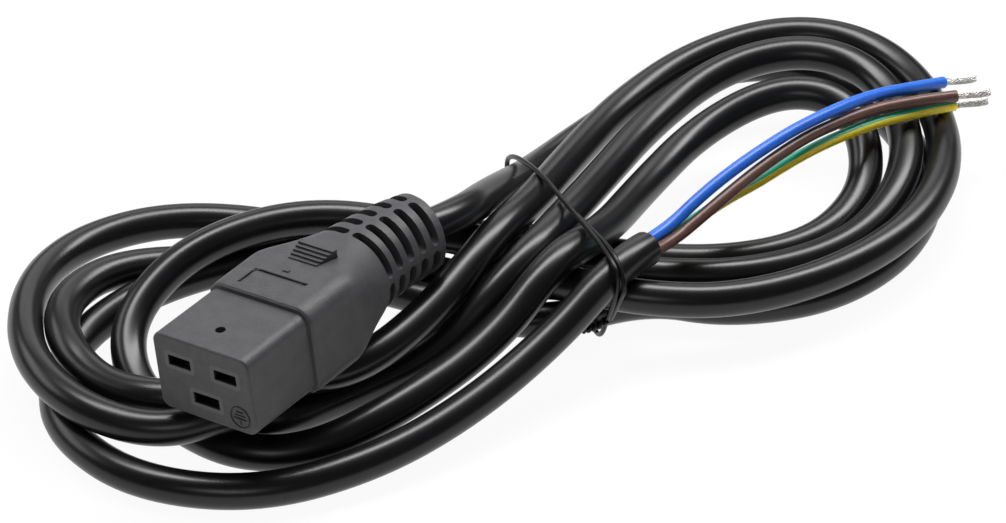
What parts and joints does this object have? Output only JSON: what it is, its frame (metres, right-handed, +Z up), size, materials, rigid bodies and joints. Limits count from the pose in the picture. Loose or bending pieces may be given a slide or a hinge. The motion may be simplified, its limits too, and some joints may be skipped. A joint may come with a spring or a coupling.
{
  "type": "c19 power connector",
  "caption": "Moulded C19 power connector with a slotted strain relief, on a black three-core lead folded into a tied hank with bare tinned ends.",
  "frame": {"origin": "centre of the mating face at the nose's end, between the slots", "axes": "-Y is the mating direction, +Z up, +Y back along the connector to its strain relief; the connector is rolled 7 degrees about Y because it lies on its own cable"},
  "size_m": [0.1622, 0.2362, 0.0431],
  "materials": {
    "moulding": "fine matt texture",
    "carrier": "smooth",
    "contact_brass": "bright",
    "tinned_copper": "tinned strands",
    "brown_core": "semi-gloss",
    "blue_core": "semi-gloss",
    "earth_core": "green with a yellow stripe",
    "cable_black": "semi-gloss",
    "tie_black": "semi-gloss"
  },
  "bodies": {
    "root": {"overmould": "moulding", "contact_carrier": "carrier", "carrier_cap": "carrier", "contact_line": "contact_brass", "contact_neutral": "contact_brass", "contact_earth": "contact_brass", "conductor_line": "tinned_copper", "conductor_neutral": "tinned_copper", "conductor_earth": "tinned_copper", "inner_core_line": "brown_core", "inner_core_neutral": "blue_core", "inner_core_earth": "earth_core", "cable_sheath": "cable_black", "core_blue": "blue_core", "core_brown": "brown_core", "core_green_yellow": "earth_core", "strands_blue": "tinned_copper", "strands_brown": "tinned_copper", "strands_green_yellow": "tinned_copper", "wire_tie": "tie_black"}
  },
  "joints": []
}
